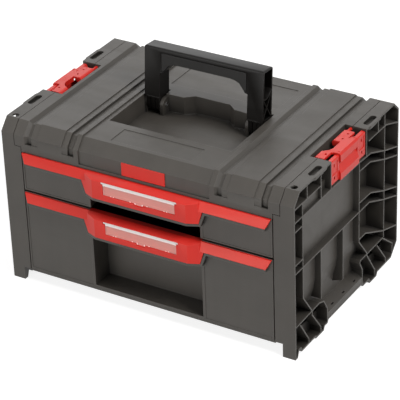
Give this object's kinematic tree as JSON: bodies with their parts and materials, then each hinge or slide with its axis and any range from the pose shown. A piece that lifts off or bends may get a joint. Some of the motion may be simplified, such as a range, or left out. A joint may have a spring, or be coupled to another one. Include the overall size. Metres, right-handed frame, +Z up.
{
  "type": "portable tool box with drawers",
  "caption": "Portable tool box: ribbed side frames, grooved top with folding handle, sliding drawers with red pulls and label windows, red stacking latches.",
  "frame": {"origin": "centre of the bounding box in X and Y, on the plane that the feet stand on", "axes": "+X to the right of someone facing the drawers, +Y to the back, +Z up"},
  "size_m": [0.45, 0.31, 0.3168],
  "materials": {
    "shell": "fine moulded texture, satin",
    "dark_plastic": "smooth satin",
    "grip_rubber": "soft matt",
    "red_plastic": "satin",
    "clear_plastic": "clear, lightly frosted",
    "steel": "bright zinc"
  },
  "bodies": {
    "body": {"side_frame_left": "shell", "side_frame_right": "shell", "deck_cover": "shell", "back_panel": "shell", "base_plate": "shell", "badge_plate": "red_plastic", "body_screws": "steel", "handle_pin_left": "steel", "handle_pin_right": "steel"},
    "handle": {"handle_bow": "dark_plastic", "handle_grip": "grip_rubber"},
    "link_left": {"latch_link_left": "red_plastic"},
    "link_right": {"latch_link_right": "red_plastic"},
    "clip_left": {"latch_clip_left": "red_plastic"},
    "clip_right": {"latch_clip_right": "red_plastic"},
    "upper_drawer": {"upper_tray": "shell", "upper_pull": "red_plastic"},
    "upper_cover": {"upper_label_cover": "clear_plastic"},
    "lower_drawer": {"lower_tray": "shell", "lower_pull": "red_plastic"},
    "lower_cover": {"lower_label_cover": "clear_plastic"}
  },
  "joints": [
    {"name": "handle_hinge", "type": "hinge", "parent": "body", "child": "handle", "pos_m": [0, 0.0245, 0.2308], "axis": [1, 0, 0], "range_deg": [0, 95]},
    {"name": "link_hinge_left", "type": "hinge", "parent": "body", "child": "link_left", "pos_m": [-0.2004, 0.009, 0.241], "axis": [0, 1, 0], "range_deg": [0, 60]},
    {"name": "link_hinge_right", "type": "hinge", "parent": "body", "child": "link_right", "pos_m": [0.2004, 0.009, 0.241], "axis": [0, -1, 0], "range_deg": [0, 60]},
    {"name": "clip_hinge_left", "type": "hinge", "parent": "link_left", "child": "clip_left", "pos_m": [-0.2189, 0.009, 0.2408], "axis": [0, 1, 0], "range_deg": [0, 110]},
    {"name": "clip_hinge_right", "type": "hinge", "parent": "link_right", "child": "clip_right", "pos_m": [0.2189, 0.009, 0.2408], "axis": [0, -1, 0], "range_deg": [0, 110]},
    {"name": "upper_drawer_slide", "type": "slide", "parent": "body", "child": "upper_drawer", "axis": [0, -1, 0], "range_m": [0, 0.235]},
    {"name": "lower_drawer_slide", "type": "slide", "parent": "body", "child": "lower_drawer", "axis": [0, -1, 0], "range_m": [0, 0.235]},
    {"name": "upper_cover_hinge", "type": "hinge", "parent": "upper_drawer", "child": "upper_cover", "pos_m": [0, -0.1525, 0.1979], "axis": [-1, 0, 0], "range_deg": [0, 90]},
    {"name": "lower_cover_hinge", "type": "hinge", "parent": "lower_drawer", "child": "lower_cover", "pos_m": [0, -0.1525, 0.1374], "axis": [-1, 0, 0], "range_deg": [0, 90]}
  ]
}
